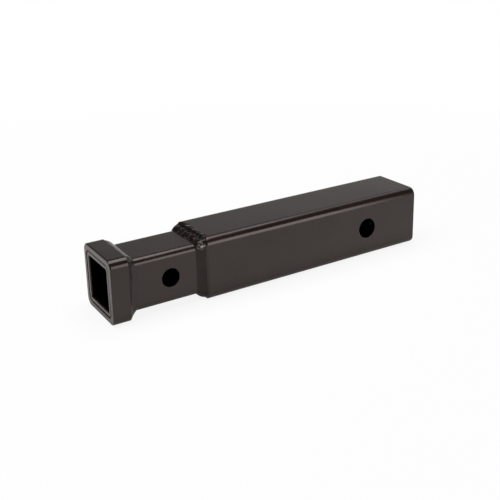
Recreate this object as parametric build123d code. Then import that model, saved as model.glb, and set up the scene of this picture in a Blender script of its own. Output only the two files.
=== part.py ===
from build123d import *
import os

# Hitch receiver adapter: a square shank that carries a smaller receiver at its front end.
# Millimetres. +X runs from the receiver's mouth to the free end of the shank and +Z is up.
# The sections grow outwards from the drawbar that the receiver takes.

# Receiver tube, sized to a 1-1/4 inch drawbar
drawbar_side = 31.75
drawbar_slip = 0.775
receiver_wall = 4.0
receiver_corner = 5.0
mouth_lead_in = 0.8
mouth_edge = 1.0

# Outer tube, the stock of the shank and of the collar, which slips over the receiver tube
tube_slip = 0.15
outer_wall = 4.6
outer_corner = 6.35
least_bore_corner = 0.8

# Lengths along the adapter
mouth_set_back = 0.2
collar_length = 15.6
hole_to_weld = 14.05
shank_length = 208.5
receiver_overlap = 50.0

# Pin holes, for a 1/2 inch pin in the receiver and a 5/8 inch pin in the shank
receiver_pin = 12.7
receiver_pin_slip = 0.8
receiver_hole_from_mouth = 49.0
shank_pin = 15.875
shank_pin_slip = 0.4
shank_hole_from_end = 53.0
hole_edge_break = 0.4

# Edges
collar_front_edge = 1.0
shank_end_edge = 0.7
weld_prep = 1.6

# Fillet welds: their legs along the receiver tube, the heights of toe and crown, how far their
# upper edge lies below the outer tube's faces, and the steps that round off their crown
shank_weld_leg = 7.1
collar_weld_leg = 5.3
weld_toe = 0.5
weld_crown = 0.6
weld_land = 0.25
weld_steps = 4

# Sections
socket_side = drawbar_side + 2 * drawbar_slip
socket_corner = max(receiver_corner - receiver_wall, least_bore_corner)
receiver_side = socket_side + 2 * receiver_wall
outer_bore = receiver_side + 2 * tube_slip
collar_bore_corner = receiver_corner + tube_slip
shank_bore_corner = min(max(outer_corner - outer_wall, least_bore_corner), collar_bore_corner)
outer_side = outer_bore + 2 * outer_wall

# Stations along X, from the collar's face
receiver_hole_radius = receiver_pin / 2 + receiver_pin_slip
shank_hole_radius = shank_pin / 2 + shank_pin_slip
receiver_hole_x = mouth_set_back + receiver_hole_from_mouth
shank_front = receiver_hole_x + receiver_hole_radius + hole_to_weld + shank_weld_leg
shank_end = shank_front + shank_length
receiver_length = shank_front + receiver_overlap - mouth_set_back


def section(x, side, corner):
    """Square outline with rounded corners, across the adapter at station x."""
    return Plane.YZ.offset(x) * RectangleRounded(side, side, corner)


def bar(start, length, side, corner):
    """Square bar along X, with rounded corners."""
    return extrude(section(start, side, corner), length)


def front_face(solid):
    """The face nearest the mouth."""
    return solid.faces().sort_by(Axis.X)[0]


def back_face(solid):
    """The face nearest the shank's free end."""
    return solid.faces().sort_by(Axis.X)[-1]


def pin_hole(x, radius, across):
    """Cutter for a cross hole through both walls, with its outer rims broken."""
    drill = Cylinder(radius, across + 2 * hole_edge_break)
    rim = Cone(radius, radius + 2 * hole_edge_break, 2 * hole_edge_break)
    drill += Pos(0, 0, across / 2) * rim
    drill += Pos(0, 0, -across / 2) * Rot(180, 0, 0) * rim
    return Pos(x, 0, 0) * Rot(90, 0, 0) * drill


def bead_section(x, share):
    """Outline of a bead: against the wall at share 0, at its toe at share 1, and crowned in between."""
    crown = weld_crown * 4 * share * (1 - share)
    side = (1 - share) * (outer_side - 2 * weld_land) + share * (receiver_side + 2 * weld_toe)
    corner = (1 - share) * (outer_corner - weld_land) + share * (receiver_corner + weld_toe)
    return section(x, side + 2 * crown, corner + crown)


def fillet_weld(joined, wall_x, leg, away):
    """Ring of weld round the receiver tube, from the bevelled end at wall_x to its toe one leg away."""
    reach = weld_prep + leg
    shares = [step / weld_steps for step in range(weld_steps + 1)]
    stations = [wall_x + away * (reach * share - weld_prep) for share in shares]
    bead = loft([bead_section(x, share) for x, share in zip(stations, shares)], ruled=True)
    return bead - bar(min(stations), reach, receiver_side, receiver_corner) - joined


def make_receiver_tube():
    """Tube that takes the drawbar, with a lead-in round its mouth."""
    body = bar(mouth_set_back, receiver_length, receiver_side, receiver_corner)
    body -= bar(mouth_set_back, receiver_length, socket_side, socket_corner)
    body = chamfer(front_face(body).inner_wires()[0].edges(), mouth_lead_in)
    body = fillet(front_face(body).outer_wire().edges(), mouth_edge)
    return body - pin_hole(receiver_hole_x, receiver_hole_radius, receiver_side)


def make_collar_blank():
    """Short length of the outer stock round the mouth: rounded in front, bevelled for its weld."""
    blank = bar(0, collar_length, outer_side, outer_corner)
    blank = fillet(front_face(blank).edges(), collar_front_edge)
    return chamfer(back_face(blank).edges(), weld_prep)


def make_shank_blank():
    """Outer stock that slides into the vehicle's receiver: bevelled for its weld, eased at its free end."""
    blank = bar(shank_front, shank_length, outer_side, outer_corner)
    blank = chamfer(front_face(blank).edges(), weld_prep)
    return fillet(back_face(blank).edges(), shank_end_edge)


def bored(blank, corner):
    """The blank with a bore through it that slips over the receiver tube."""
    return blank - bar(0, shank_end, outer_bore, corner)


collar_blank = make_collar_blank()
shank_blank = make_shank_blank()
shank_hole = pin_hole(shank_end - shank_hole_from_end, shank_hole_radius, outer_side)
nodes = {
    "receiver_tube": make_receiver_tube(),
    "mouth_collar": bored(collar_blank, collar_bore_corner),
    "shank_tube": bored(shank_blank, shank_bore_corner) - shank_hole,
    "collar_weld": fillet_weld(collar_blank, collar_length, collar_weld_leg, 1),
    "shank_weld": fillet_weld(shank_blank, shank_front, shank_weld_leg, -1),
}

# The origin is on the ground, below the middle of the adapter's length
place = Pos(-shank_end / 2, 0, outer_side / 2)

os.makedirs("parts", exist_ok=True)
for name, solid in nodes.items():
    node = place * solid
    node.label = name
    export_step(node, f"parts/{name}.step")
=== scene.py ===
import math

import bmesh
import bpy
from mathutils import Matrix, Vector, noise


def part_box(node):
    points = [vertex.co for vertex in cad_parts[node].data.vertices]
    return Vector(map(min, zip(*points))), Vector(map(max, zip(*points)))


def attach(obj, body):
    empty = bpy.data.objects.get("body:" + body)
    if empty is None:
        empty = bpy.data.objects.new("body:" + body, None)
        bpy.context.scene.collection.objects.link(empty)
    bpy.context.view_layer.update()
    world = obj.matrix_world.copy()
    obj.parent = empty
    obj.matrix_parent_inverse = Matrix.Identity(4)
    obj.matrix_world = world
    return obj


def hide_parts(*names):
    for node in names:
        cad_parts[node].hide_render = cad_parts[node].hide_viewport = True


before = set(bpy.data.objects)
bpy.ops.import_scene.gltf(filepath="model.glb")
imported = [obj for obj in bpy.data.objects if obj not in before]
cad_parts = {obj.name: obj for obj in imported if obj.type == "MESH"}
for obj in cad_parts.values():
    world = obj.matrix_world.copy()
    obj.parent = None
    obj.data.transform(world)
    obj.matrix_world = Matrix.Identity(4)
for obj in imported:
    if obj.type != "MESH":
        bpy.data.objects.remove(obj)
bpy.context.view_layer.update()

# Hitch receiver adapter: a square shank with a smaller receiver tube welded into its front end.
# Metres, in the frame of the solids: +X from the mouth to the shank's free end, +Z up.
# The three tubes keep their solids and get a finish, and the two welds are modelled here as beads.


def find(node):
    """The object of a solid."""
    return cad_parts[node]


# Sizes read from the solids
tube_low, tube_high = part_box("receiver_tube")
shank_low, shank_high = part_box("shank_tube")
collar_low, collar_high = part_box("mouth_collar")
shank_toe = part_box("shank_weld")[0].x
collar_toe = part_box("collar_weld")[1].x
axis_height = (shank_low.z + shank_high.z) / 2
outer_half = (shank_high.y - shank_low.y) / 2
tube_half = (tube_high.y - tube_low.y) / 2
shank_front = shank_low.x
collar_back = collar_high.x

# Sizes that the boxes of the solids don't show
outer_corner = 0.00635
tube_corner = 0.005
weld_prep = 0.0016
tube_bore_half = 0.01665
outer_bore_half = 0.0208
collar_bore_corner = 0.00515
mouth_lead_in = 0.0008
tube_hole = {"x": -0.0938, "radius": 0.00715}
shank_hole = {"x": 0.09, "radius": 0.0083375}


# Node helpers


def new_tree(owner):
    """Empty node tree of a material or a world."""
    owner.use_nodes = True
    owner.node_tree.nodes.clear()
    return owner.node_tree


def add(tree, kind, **settings):
    """New node with its properties set."""
    node = tree.nodes.new(kind)
    for key, value in settings.items():
        setattr(node, key, value)
    return node


def wire(tree, source, target):
    """Link from an output to an input."""
    tree.links.new(source, target)


def object_place(tree):
    """Object coordinates."""
    return add(tree, "ShaderNodeTexCoord").outputs["Object"]


def split_axes(tree, place):
    """The X, Y and Z outputs of a place."""
    split = add(tree, "ShaderNodeSeparateXYZ")
    wire(tree, place, split.inputs[0])
    return split.outputs


def math_node(tree, operation, first, second=None, third=None):
    """Math node whose inputs are numbers or outputs of other nodes."""
    node = add(tree, "ShaderNodeMath", operation=operation)
    for socket, value in zip(node.inputs, (first, second, third)):
        if value is None:
            continue
        if isinstance(value, (int, float)):
            socket.default_value = value
        else:
            wire(tree, value, socket)
    return node.outputs[0]


def noise_node(tree, place, scale, detail=3.0, roughness=0.55, distortion=0.0):
    """Noise over a place. Scale is in cycles per metre."""
    node = add(tree, "ShaderNodeTexNoise")
    node.inputs["Scale"].default_value = scale
    node.inputs["Detail"].default_value = detail
    node.inputs["Roughness"].default_value = roughness
    node.inputs["Distortion"].default_value = distortion
    wire(tree, place, node.inputs["Vector"])
    return node.outputs["Fac"]


def ramp_value(tree, value, span, result=(0.0, 1.0)):
    """A value spread from one range to another, held at its ends."""
    node = add(tree, "ShaderNodeMapRange")
    for socket, number in zip(("From Min", "From Max", "To Min", "To Max"), (*span, *result)):
        node.inputs[socket].default_value = number
    wire(tree, value, node.inputs["Value"])
    return node.outputs["Result"]


def mix_colour(tree, share, first, second):
    """Mix of two colours, each a tuple or an output."""
    node = add(tree, "ShaderNodeMix", data_type="RGBA")
    for socket, value in zip((node.inputs[6], node.inputs[7]), (first, second)):
        if isinstance(value, tuple):
            socket.default_value = (*value, 1.0)
        else:
            wire(tree, value, socket)
    wire(tree, share, node.inputs[0])
    return node.outputs[2]


def bump_node(tree, height, distance, strength, before=None):
    """Bump from a height, on top of an earlier bump."""
    node = add(tree, "ShaderNodeBump")
    node.inputs["Distance"].default_value = distance
    node.inputs["Strength"].default_value = strength
    wire(tree, height, node.inputs["Height"])
    if before is not None:
        wire(tree, before, node.inputs["Normal"])
    return node.outputs["Normal"]


# Finishes. Scales are in cycles per metre, and a bump is its distance and strength.

COAT_BROWN = (0.0178, 0.0102, 0.0078)
COAT_BLACK = (0.0118, 0.0071, 0.0056)
COAT_RUBBED = (0.030, 0.022, 0.019)
COAT_GLEAM = (1.0, 0.87, 0.84)
# Painted shade colours for the weld's top run and the lap on the shank.
WELD_SHADE_BROWN = (0.0105, 0.0060, 0.0045)
WELD_SHADE_BLACK = (0.0040, 0.0026, 0.0020)
# Steel where the coat is rubbed through, partly wear and partly a painted highlight.
BARE_STEEL_AND_GLINT = (0.40, 0.38, 0.36)
BORE_STEEL_AND_SHADE = (0.0022, 0.0018, 0.0016)

CLOUD_SCALE = 26.0
CLOUD_TONES = (0.35, 0.65)
CLOUD_RANGE = (0.3, 0.7)
FLECK_SCALE = 900.0
FLECK_TONES = (0.55, 0.8)
FLECK_SHARE = 0.25
COAT_ROUGHNESS = (0.18, 0.24)
FLECK_ROUGHNESS = (-0.02, 0.03)
COAT_SPECULAR = 0.5

SAG_SCALE = 90.0
SAG_BUMP = (0.0004, 0.10)
STREAK_SCALE = 420.0
STREAK_STRETCH = (0.03, 1.0, 1.0)
STREAK_BUMP = (0.00006, 0.20)
PEEL_SCALE = 520.0
PEEL_BUMP = (0.00012, 0.20)

# Painted shade in the groove round the mouth, and how far the masks of bore and holes reach past their
# walls
GROOVE_SHADE_DEPTH = 0.0015
GROOVE_SHADE_BLUR = 0.0001
BORE_MARGIN = 0.0001
HOLE_MARGIN = 0.00015
# Painted shade inside the bore: its share at the open end, full further in.
SHADE_AT_OPEN_END = 0.3

# Ragged lap of the weld on the shank, a bump darkened with painted shade
LAP_SCALE = 130.0
LAP_RAGGED = (0.36, 0.68)
LAP_REACH = 0.0060
LAP_SLOPE = 0.14
LAP_SHADE_FADE = 0.002
LAP_HEIGHTS = (axis_height + 0.9 * outer_half, axis_height + outer_half)

# Coat over the welds
WELD_CLOUD_SCALE = 160.0
WELD_ROUGHNESS = (0.18, 0.26)
GRIT_SCALE = 1400.0
GRIT_BUMP = (0.00008, 0.07)
# Heights over which the painted shade on the weld's top run comes in.
TOP_SHADE_HEIGHTS = (axis_height + 0.75 * outer_half, axis_height + 0.88 * outer_half)
WEAR_GLINT_SCALE = 620.0
WEAR_GLINT_TONES = (0.42, 0.60)
WEAR_GLINT_SPAN = (0.0015, 0.0040)


def new_finish(name):
    """Material with a principled shader and the warm gleam of the coat."""
    material = bpy.data.materials.new(name)
    tree = new_tree(material)
    output = add(tree, "ShaderNodeOutputMaterial")
    shader = add(tree, "ShaderNodeBsdfPrincipled")
    shader.inputs["Specular Tint"].default_value = (*COAT_GLEAM, 1.0)
    wire(tree, shader.outputs[0], output.inputs["Surface"])
    return material, shader


def coat_skin(tree, place):
    """Orange peel, faint sags and the drawn tube's streaks under a sprayed coat, as a normal."""
    sag = noise_node(tree, place, SAG_SCALE, detail=2.0)
    peel = noise_node(tree, place, PEEL_SCALE, detail=2.0, roughness=0.5)
    drawn = add(tree, "ShaderNodeMapping")
    drawn.inputs["Scale"].default_value = STREAK_STRETCH
    wire(tree, place, drawn.inputs["Vector"])
    streak = noise_node(tree, drawn.outputs[0], STREAK_SCALE)
    skin = bump_node(tree, sag, *SAG_BUMP)
    skin = bump_node(tree, streak, *STREAK_BUMP, skin)
    return bump_node(tree, peel, *PEEL_BUMP, skin)


def outline_reach(tree, axes, half, corner):
    """Distance from the flats' edges of a square with rounded corners: it equals corner on the outline."""
    parts = []
    for away in (axes["Y"], math_node(tree, "SUBTRACT", axes["Z"], axis_height)):
        past = math_node(tree, "SUBTRACT", math_node(tree, "ABSOLUTE", away), half - corner)
        parts.append(math_node(tree, "POWER", math_node(tree, "MAXIMUM", past, 0.0), 2.0))
    return math_node(tree, "SQRT", math_node(tree, "ADD", parts[0], parts[1]))


def groove_shade_mask(tree, axes, half, corner, low, high):
    """1 at the mouth between low and high from an outline, which is the groove of tube and collar that gets
    painted shade.
    """
    reach = math_node(tree, "SUBTRACT", outline_reach(tree, axes, half, corner), corner)
    front = math_node(tree, "LESS_THAN", axes["X"], tube_low.x + GROOVE_SHADE_DEPTH)
    above = ramp_value(tree, reach, (low, low + GROOVE_SHADE_BLUR))
    below = ramp_value(tree, reach, (high, high + GROOVE_SHADE_BLUR), (1.0, 0.0))
    return math_node(tree, "MULTIPLY", front, math_node(tree, "MULTIPLY", above, below))


def inside_mask(tree, axes, bore_half, hole):
    """1 on the walls of the bore and of the pin hole, 0 on the coated outside."""
    up = math_node(tree, "ABSOLUTE", math_node(tree, "SUBTRACT", axes["Z"], axis_height))
    across = math_node(tree, "ABSOLUTE", axes["Y"])
    furthest = math_node(tree, "MAXIMUM", up, across)
    in_bore = math_node(tree, "LESS_THAN", furthest, bore_half + BORE_MARGIN)
    if hole is None:
        return in_bore
    along = math_node(tree, "SUBTRACT", axes["X"], hole["x"])
    squared = math_node(tree, "MULTIPLY_ADD", along, along, math_node(tree, "POWER", up, 2.0))
    reach = math_node(tree, "SQRT", squared)
    in_hole = math_node(tree, "LESS_THAN", reach, hole["radius"] + HOLE_MARGIN)
    return math_node(tree, "MAXIMUM", in_bore, in_hole)


def weld_lap(tree, place, axes):
    """How far a place on the shank lies inside the weld's ragged lap, which is on top only."""
    ragged = noise_node(tree, place, LAP_SCALE, detail=2.0)
    on_top = ramp_value(tree, axes["Z"], LAP_HEIGHTS)
    reach = math_node(tree, "MULTIPLY", on_top, ramp_value(tree, ragged, LAP_RAGGED, (0.0, LAP_REACH)))
    border = math_node(tree, "ADD", reach, shank_front + weld_prep)
    return math_node(tree, "MAXIMUM", math_node(tree, "SUBTRACT", border, axes["X"]), 0.0)


def make_coat(name, bore_half, hole, open_end, shade_depth, groove=None, shaded_lap=False):
    """Satin warm black powder coat of a tube.

    Inside, over a given depth from the open end, it turns to near-black metallic steel: uncoated inside,
    blackened with painted shade. A groove gets painted shade too, and a tube with a lap has the weld's
    ragged lap on it, a bump darkened with painted shade.
    """
    material, shader = new_finish(name)
    tree = material.node_tree
    place = object_place(tree)
    axes = split_axes(tree, place)
    cloud = noise_node(tree, place, CLOUD_SCALE, detail=4.0, distortion=0.4)
    fleck = noise_node(tree, place, FLECK_SCALE, detail=2.0)
    colour = mix_colour(tree, ramp_value(tree, cloud, CLOUD_TONES), COAT_BLACK, COAT_BROWN)
    colour = mix_colour(tree, ramp_value(tree, fleck, FLECK_TONES, (0.0, FLECK_SHARE)), colour, COAT_RUBBED)
    rough = ramp_value(tree, cloud, CLOUD_RANGE, COAT_ROUGHNESS)
    rough = math_node(tree, "ADD", rough, ramp_value(tree, fleck, CLOUD_RANGE, FLECK_ROUGHNESS))
    skin = coat_skin(tree, place)
    if shaded_lap:
        lap = weld_lap(tree, place, axes)
        # Painted shade: the lap turns near black where it slopes down to the weld.
        colour = mix_colour(tree, ramp_value(tree, lap, (0.0, LAP_SHADE_FADE)), colour, WELD_SHADE_BLACK)
        skin = bump_node(tree, math_node(tree, "MULTIPLY", lap, -LAP_SLOPE), 1.0, 1.0, skin)
    # Painted shade: darker the further a place lies from the open end.
    depth = math_node(tree, "ABSOLUTE", math_node(tree, "SUBTRACT", axes["X"], open_end))
    deeper_shade = ramp_value(tree, depth, (0.0, shade_depth), (SHADE_AT_OPEN_END, 1.0))
    inside_shade = math_node(tree, "MULTIPLY", inside_mask(tree, axes, bore_half, hole), deeper_shade)
    if groove is not None:
        # Painted shade: the groove round the mouth is blackened like the bore.
        inside_shade = math_node(tree, "MAXIMUM", inside_shade, groove_shade_mask(tree, axes, *groove))
    # Painted shade: bore, pin-hole walls and mouth groove turn near black and metallic, so they reflect
    # almost nothing.
    colour = mix_colour(tree, inside_shade, colour, BORE_STEEL_AND_SHADE)
    wire(tree, colour, shader.inputs["Base Color"])
    wire(tree, inside_shade, shader.inputs["Metallic"])
    wire(tree, rough, shader.inputs["Roughness"])
    wire(tree, skin, shader.inputs["Normal"])
    shader.inputs["Specular IOR Level"].default_value = COAT_SPECULAR
    return material


def make_weld_coat(name, specular, shaded_top=False, wear_and_glint_at=None):
    """Coat over a weld. Its top run may be darkened with painted shade, and a spot at a given place rubbed
    through to bright steel, partly wear and partly a painted highlight.
    """
    material, shader = new_finish(name)
    tree = material.node_tree
    place = object_place(tree)
    cloud = noise_node(tree, place, WELD_CLOUD_SCALE)
    grit = noise_node(tree, place, GRIT_SCALE)
    tone = ramp_value(tree, cloud, CLOUD_TONES)
    colour = mix_colour(tree, tone, COAT_BLACK, COAT_BROWN)
    if shaded_top:
        # Painted shade: the top run of the bead is darker from the given heights up.
        top_shade = ramp_value(tree, split_axes(tree, place)["Z"], TOP_SHADE_HEIGHTS)
        colour = mix_colour(tree, top_shade, colour, mix_colour(tree, tone, WELD_SHADE_BLACK, WELD_SHADE_BROWN))
    if wear_and_glint_at is not None:
        # Partly wear, partly painted highlight: a patch of uncoated metallic steel on the bead's near top
        # corner.
        span = add(tree, "ShaderNodeVectorMath", operation="DISTANCE")
        wire(tree, place, span.inputs[0])
        span.inputs[1].default_value = wear_and_glint_at
        patch = noise_node(tree, place, WEAR_GLINT_SCALE)
        near = ramp_value(tree, span.outputs["Value"], WEAR_GLINT_SPAN, (1.0, 0.0))
        wear_and_glint = math_node(tree, "MULTIPLY", near, ramp_value(tree, patch, WEAR_GLINT_TONES))
        colour = mix_colour(tree, wear_and_glint, colour, BARE_STEEL_AND_GLINT)
        wire(tree, wear_and_glint, shader.inputs["Metallic"])
    wire(tree, colour, shader.inputs["Base Color"])
    wire(tree, ramp_value(tree, cloud, CLOUD_RANGE, WELD_ROUGHNESS), shader.inputs["Roughness"])
    wire(tree, bump_node(tree, grit, *GRIT_BUMP), shader.inputs["Normal"])
    shader.inputs["Specular IOR Level"].default_value = specular
    return material


# Weld beads. A share runs from 0 at the crest, on the bevelled end, to 1 at the toe on the tube.

CREST_DROP = 0.0003
TOE_SINK = 0.00005
FACE_CLEARANCE = 0.00012
CORNER_STEPS = 22
SIDE_STEPS = 96
SLOPE_STEPS = 30
SAME_PLACE = 1e-7
SAME_ANGLE = 0.001
ROPE_AT = (0.58, 0.34)
DIP_AT = (0.19, 0.19)
CREST_HOLD = 0.10
TOE_HOLD = 0.12
WANDER_WAVES = ((120.0, 0.5), (45.0, 0.9))
LUMP_WAVES = ((170.0, 1.0), (380.0, 0.08))
RIPPLE_BOW = 2.2
SEED_SHIFT = Vector((1.0, 0.7, 0.3))
RUN_ANGLES = {
    "far": 0.0,
    "far_top": 45.0,
    "top": 90.0,
    "near_top": 135.0,
    "near": 180.0,
    "near_bottom": 225.0,
    "bottom": 270.0,
    "far_bottom": 315.0,
}


def rounded_square(bm, x, half, corner):
    """Loop of edges round the axis at station x: a square with rounded corners. Returns its edges."""
    square = bmesh.ops.create_grid(bm, x_segments=1, y_segments=1, size=half)["verts"]
    upright = Matrix.Translation((x, 0, axis_height)) @ Matrix.Rotation(math.radians(90), 4, "Y")
    bmesh.ops.transform(bm, matrix=upright, verts=square)
    bmesh.ops.bevel(
        bm,
        geom=square,
        offset=corner,
        offset_type="ABSOLUTE",
        segments=CORNER_STEPS,
        profile=0.5,
        affect="VERTICES",
        material=-1,
    )
    # The square is the only face so far, and goes again when its sides are divided
    (face,) = bm.faces
    sides = [edge for edge in face.edges if edge.calc_length() > half]
    bmesh.ops.subdivide_edges(bm, edges=sides, cuts=SIDE_STEPS - 1)
    edges = list(face.edges)
    bmesh.ops.delete(bm, geom=[face], context="FACES_ONLY")
    return edges


def blend(first, second, share):
    """Value between two others."""
    return first + (second - first) * share


def ease(share):
    """0 to 1 with soft ends."""
    share = min(max(share, 0.0), 1.0)
    return share * share * (3 - 2 * share)


def hump(share, middle, width):
    """1 at the middle, 0 one width away from it."""
    return ease(1 - abs(share - middle) / width)


def waves(place, levels):
    """Sum of smooth noises, each with a scale in cycles per metre and a height."""
    return sum(noise.noise(place * scale) * height for scale, height in levels)


def outline_place(point, flat):
    """Centre of the outline's round nearest to a point, and the outward direction from it."""
    up = point.z - axis_height
    centre = Vector((0, min(max(point.y, -flat), flat), min(max(up, -flat), flat)))
    return centre, Vector((0, point.y, up)) - centre


def way_round(centre, outward, flat, corner):
    """How far round the bead a place is, from the bottom of the far side, over the top and back."""
    angle = math.atan2(outward.z, outward.y) % (2 * math.pi)
    quarter = angle / (math.pi / 2)
    if quarter < SAME_ANGLE or quarter > 4 - SAME_ANGLE:
        straight = centre.z + flat
    elif quarter <= 1 + SAME_ANGLE:
        straight = 3 * flat - centre.y
    elif quarter <= 2 + SAME_ANGLE:
        straight = 5 * flat - centre.z
    elif quarter <= 3 + SAME_ANGLE:
        straight = 7 * flat + centre.y
    else:
        straight = 8 * flat
    if quarter > 4 - SAME_ANGLE:
        angle = 0.0
    return straight + corner * angle, angle


def run_weights(angle):
    """How much of a place belongs to each run of the bead."""
    weights = {}
    for run, middle in RUN_ANGLES.items():
        turn = (angle - math.radians(middle) + math.pi) % (2 * math.pi) - math.pi
        weights[run] = math.cos(2 * turn) ** 2 if abs(turn) < math.pi / 4 else 0.0
    return weights


def bead_height(point, share, turns, angle, runs, seed):
    """Lift of the bead's surface at a place: its fill, rope, ripples and lumps. Turns counts ripples."""
    shifted = point + SEED_SHIFT * seed
    phase = turns + waves(shifted, WANDER_WAVES) + RIPPLE_BOW * (share - 0.5) ** 2
    ripple = math.cos(2 * math.pi * phase)
    lump = waves(shifted, LUMP_WAVES)
    rope = hump(share, *ROPE_AT) - hump(share, *DIP_AT)
    crown = 4 * share * (1 - share)
    held = ease(share / CREST_HOLD) * ease((1 - share) / TOE_HOLD)
    lift = 0.0
    for run, weight in run_weights(angle).items():
        height = runs[run]
        lift += weight * held * (height["ripple"] * ripple + height["lump"] * lump)
        lift += weight * (height["rope"] * rope + height["fill"] * crown)
    return lift


def kept_inside(place):
    """The place, or the nearest one that stays below the faces of the outer tube."""
    centre, outward = outline_place(place, outer_half - outer_corner)
    room = outer_corner - FACE_CLEARANCE
    if outward.length <= room:
        return place
    inside = centre + outward * (room / outward.length)
    return Vector((place.x, inside.y, inside.z + axis_height))


def make_bead(name, node, wall_x, toe_x, runs, ripple_count, seed, finish):
    """Weld bead round the receiver tube, from the bevelled end at wall_x down to its toe."""
    away = math.copysign(1.0, toe_x - wall_x)
    crest_x = wall_x - away * weld_prep
    bm = bmesh.new()
    crest = rounded_square(bm, crest_x, outer_half - CREST_DROP, outer_corner - CREST_DROP)
    toe = rounded_square(bm, toe_x, tube_half - TOE_SINK, tube_corner - TOE_SINK)
    foot = rounded_square(bm, wall_x, outer_half - weld_prep, outer_corner - weld_prep)
    root = rounded_square(bm, wall_x, tube_half, tube_corner)
    slope = bmesh.ops.bridge_loops(bm, edges=crest + toe)["faces"]
    across = {edge for face in slope for edge in face.edges} - set(crest) - set(toe)
    bmesh.ops.subdivide_edges(bm, edges=list(across), cuts=SLOPE_STEPS - 1, use_grid_fill=True)
    # The slope's inner points have four edges, and those of foot and root have two so far
    first, last = sorted((crest_x, toe_x))
    between = [vert for vert in bm.verts if first + SAME_PLACE < vert.co.x < last - SAME_PLACE]
    surface = [vert for vert in between if len(vert.link_edges) == 4]
    bmesh.ops.bridge_loops(bm, edges=crest + foot)
    bmesh.ops.bridge_loops(bm, edges=foot + root)
    bmesh.ops.bridge_loops(bm, edges=root + toe)
    bmesh.ops.recalc_face_normals(bm, faces=bm.faces)
    outer_flat = outer_half - outer_corner
    tube_flat = tube_half - tube_corner
    mean_flat = (outer_flat + tube_flat) / 2
    mean_corner = (outer_corner + tube_corner) / 2
    length = 8 * mean_flat + 2 * math.pi * mean_corner
    moves = []
    for vert in surface:
        share = (vert.co.x - crest_x) / (toe_x - crest_x)
        flat = blend(outer_flat, tube_flat, share)
        centre, outward = outline_place(vert.co, flat)
        way, angle = way_round(centre * (mean_flat / flat), outward, mean_flat, mean_corner)
        lift = bead_height(vert.co, share, way / length * ripple_count, angle, runs, seed)
        moves.append((vert, vert.co + vert.normal * lift))
    for vert, place in moves:
        vert.co = kept_inside(place)
    for face in bm.faces:
        face.smooth = True
    for edge in crest + toe + foot + root:
        edge.smooth = False
    mesh = bpy.data.meshes.new(name)
    bm.to_mesh(mesh)
    bm.free()
    mesh.materials.append(finish)
    bead = bpy.data.objects.new(name, mesh)
    bpy.context.scene.collection.objects.link(bead)
    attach(bead, "root")
    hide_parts(node)


def bead_run(fill, rope=0.0, ripple=0.0, lump=0.0):
    """Heights along one run of a bead, in metres."""
    return {"fill": fill, "rope": rope, "ripple": ripple, "lump": lump}


shank_runs = {
    "far": bead_run(0.0004, 0.0002, 0.00008, 0.0003),
    "far_top": bead_run(0.0008, 0.0001, 0.00005, 0.0004),
    "top": bead_run(0.0001, 0.0006, 0.00008, 0.0009),
    "near_top": bead_run(0.0006, 0.0004, 0.00008, 0.0007),
    "near": bead_run(-0.0009, 0.0, 0.00002, 0.00010),
    "near_bottom": bead_run(-0.0003, 0.0, 0.00003, 0.00015),
    "bottom": bead_run(0.0002, 0.0003, 0.00010, 0.0004),
    "far_bottom": bead_run(0.0003, 0.0002, 0.00008, 0.0003),
}
collar_runs = {
    "far": bead_run(-0.0002, 0.0, 0.00004, 0.0002),
    "far_top": bead_run(-0.0016, 0.0, 0.0, 0.0002),
    "top": bead_run(0.0009, 0.0, 0.00002, 0.00015),
    "near_top": bead_run(0.0002, 0.0, 0.00002, 0.0002),
    "near": bead_run(-0.0005, 0.0, 0.00002, 0.0001),
    "near_bottom": bead_run(-0.0002, 0.0, 0.00002, 0.00015),
    "bottom": bead_run(0.0001, 0.0, 0.00004, 0.0002),
    "far_bottom": bead_run(0.0, 0.0, 0.00004, 0.0002),
}
shank_ripples = 34
collar_ripples = 40
shank_seed = 0.31
collar_seed = 0.77

# The finishes: where the weld's steel shows through as wear and a painted highlight, and half size, corner,
# low and high of the painted shade round the mouth
near_top_wear_and_glint = (shank_front - 0.0030, -0.0228, axis_height + 0.0200)
tube_groove_shade = (tube_half, tube_corner, -0.0011, 0.001)
collar_groove_shade = (outer_bore_half, collar_bore_corner, -0.001, 0.0006)
tube_bore = tube_bore_half + mouth_lead_in
mouth_shade_depth = 0.003
shank_shade_depth = 0.012
shank_bead_specular = 0.29
collar_bead_specular = 0.36

tube_finishes = {
    "receiver_tube": make_coat(
        "coated_receiver_tube", tube_bore, tube_hole, tube_low.x, mouth_shade_depth, tube_groove_shade
    ),
    "shank_tube": make_coat(
        "coated_shank", outer_bore_half, shank_hole, shank_high.x, shank_shade_depth, shaded_lap=True
    ),
    "mouth_collar": make_coat(
        "coated_collar", outer_bore_half, None, collar_low.x, mouth_shade_depth, collar_groove_shade
    ),
}
for node, finish in tube_finishes.items():
    find(node).data.materials.clear()
    find(node).data.materials.append(finish)
shank_bead_finish = make_weld_coat(
    "coated_shank_bead", shank_bead_specular, shaded_top=True, wear_and_glint_at=near_top_wear_and_glint
)
collar_bead_finish = make_weld_coat("coated_collar_bead", collar_bead_specular)

make_bead(
    "shank_bead", "shank_weld", shank_front, shank_toe,
    shank_runs, shank_ripples, shank_seed, shank_bead_finish,
)
make_bead(
    "collar_bead", "collar_weld", collar_back, collar_toe,
    collar_runs, collar_ripples, collar_seed, collar_bead_finish,
)


# Stage

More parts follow.
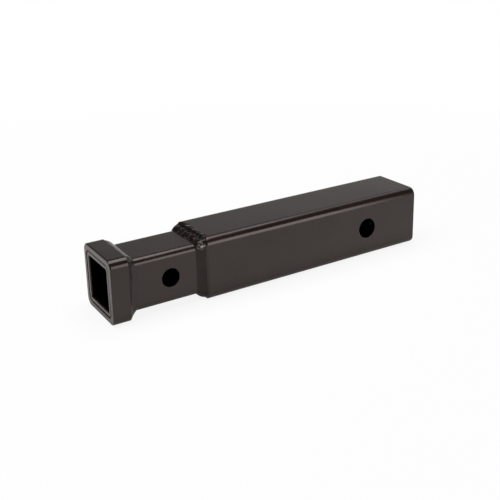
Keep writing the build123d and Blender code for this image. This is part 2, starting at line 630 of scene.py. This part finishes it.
WHITE = (1.0, 1.0, 1.0)
PAPER = (0.84, 0.84, 0.84)
FLOOR_REACH = 6.0
FLOOR_SIDES = 96
FLOOR_SPAN = (0.2, 0.7)
FLOOR_WHITE = (0.88, 1.0)
FLOOR_MIRRORED = 0.3
ROOM_FALL = (-0.4, -0.25, 1.0)
ROOM_SPAN = (-0.5, 1.0)
ROOM_LEVELS = (
    (-0.5, 0.9),
    (-0.28, 0.75),
    (-0.17, 0.36),
    (0.0, 0.36),
    (0.05, 0.25),
    (0.25, 0.06),
    (1.0, 0.05),
)
LENS_LENGTH = 59.954
SENSOR_WIDTH = 36.0
LENS_SHIFT = -0.16
CLIP_END = 50.0
CAMERA_PLACE = (-0.340385, -0.537647, 0.283378)
CAMERA_RIGHT = Vector((0.84835, -0.52901, -0.02124))
CAMERA_DOWN = Vector((-0.17305, -0.23915, -0.95544))
CAMERA_FORWARD = Vector((0.50036, 0.81422, -0.29443))


def make_paper():
    """White paper: as lit, but shown close to white, so that only a faint shadow is left."""
    material = bpy.data.materials.new("white_paper")
    tree = new_tree(material)
    output = add(tree, "ShaderNodeOutputMaterial")
    paper = add(tree, "ShaderNodeBsdfDiffuse")
    paper.inputs["Color"].default_value = (*PAPER, 1.0)
    white = add(tree, "ShaderNodeEmission")
    white.inputs["Color"].default_value = (*WHITE, 1.0)
    mix = add(tree, "ShaderNodeMixShader")
    rays = add(tree, "ShaderNodeLightPath").outputs
    span = add(tree, "ShaderNodeVectorMath", operation="LENGTH")
    wire(tree, object_place(tree), span.inputs[0])
    white_share = ramp_value(tree, span.outputs["Value"], FLOOR_SPAN, FLOOR_WHITE)
    seen = math_node(tree, "MULTIPLY", rays["Is Camera Ray"], white_share)
    mirrored = math_node(tree, "MAXIMUM", rays["Is Glossy Ray"], rays["Is Transmission Ray"])
    mirrored = math_node(tree, "MULTIPLY", mirrored, FLOOR_MIRRORED)
    wire(tree, math_node(tree, "MAXIMUM", seen, mirrored), mix.inputs[0])
    wire(tree, paper.outputs[0], mix.inputs[1])
    wire(tree, white.outputs[0], mix.inputs[2])
    wire(tree, mix.outputs[0], output.inputs["Surface"])
    return material


def make_floor():
    """Round floor of white paper."""
    bm = bmesh.new()
    bmesh.ops.create_circle(bm, cap_ends=True, segments=FLOOR_SIDES, radius=FLOOR_REACH)
    mesh = bpy.data.meshes.new("floor")
    bm.to_mesh(mesh)
    bm.free()
    mesh.materials.append(make_paper())
    floor = bpy.data.objects.new("floor", mesh)
    bpy.context.scene.collection.objects.link(floor)


def make_room():
    """World: white to the camera. As light, pale low down behind the shank's end and dim elsewhere."""
    world = bpy.data.worlds.new("studio")
    tree = new_tree(world)
    output = add(tree, "ShaderNodeOutputWorld")
    light = add(tree, "ShaderNodeBackground")
    fall = add(tree, "ShaderNodeVectorMath", operation="DOT_PRODUCT")
    fall.inputs[1].default_value = ROOM_FALL
    wire(tree, add(tree, "ShaderNodeTexCoord").outputs["Generated"], fall.inputs[0])
    ramp = add(tree, "ShaderNodeValToRGB")
    wire(tree, ramp_value(tree, fall.outputs["Value"], ROOM_SPAN), ramp.inputs[0])
    rays = add(tree, "ShaderNodeLightPath").outputs
    wire(tree, mix_colour(tree, rays["Is Camera Ray"], ramp.outputs[0], WHITE), light.inputs["Color"])
    wire(tree, light.outputs[0], output.inputs["Surface"])
    elements = ramp.color_ramp.elements
    while len(elements) < len(ROOM_LEVELS):
        elements.new(1.0)
    for element, (fall_value, level) in zip(elements, ROOM_LEVELS):
        element.position = (fall_value - ROOM_SPAN[0]) / (ROOM_SPAN[1] - ROOM_SPAN[0])
        element.color = (level, level, level, 1.0)
    bpy.context.scene.world = world


def add_softbox(name, place, aim, width, height, level):
    """Rectangular soft light with the given radiance, where 1 is white."""
    light = bpy.data.lights.new(name, "AREA")
    light.shape = "RECTANGLE"
    light.size = width
    light.size_y = height
    light.energy = level * math.pi * width * height
    box = bpy.data.objects.new(name, light)
    box.location = place
    box.rotation_euler = (Vector(aim) - Vector(place)).to_track_quat("-Z", "Y").to_euler()
    box.visible_camera = False
    bpy.context.scene.collection.objects.link(box)


def add_camera():
    """Camera at the photograph's angle, framed off its optical centre as the photograph is."""
    lens = bpy.data.cameras.new("camera")
    lens.lens = LENS_LENGTH
    lens.shift_y = LENS_SHIFT
    lens.sensor_width = SENSOR_WIDTH
    lens.clip_end = CLIP_END
    camera = bpy.data.objects.new("camera", lens)
    turn = Matrix((CAMERA_RIGHT, -CAMERA_DOWN, -CAMERA_FORWARD)).transposed().to_4x4()
    camera.matrix_world = Matrix.Translation(CAMERA_PLACE) @ turn
    bpy.context.scene.collection.objects.link(camera)
    bpy.context.scene.camera = camera


make_floor()
make_room()
add_softbox("overhead", (-0.41, 0.14, 1.0), (-0.41, 0.14, 0.0), 1.58, 0.72, 4.0)
add_softbox("overhead_middle", (0.5, 0.26, 1.0), (0.5, 0.26, 0.0), 0.24, 0.48, 2.4)
add_softbox("overhead_right", (1.12, 0.52, 1.0), (1.12, 0.52, 0.0), 1.0, 0.8, 0.9)
add_softbox("right_fill", (0.40, -0.83, 0.24), (0.0, 0.0, 0.03), 0.55, 0.50, 3.6)
add_camera()
bpy.context.scene.view_settings.view_transform = "Standard"
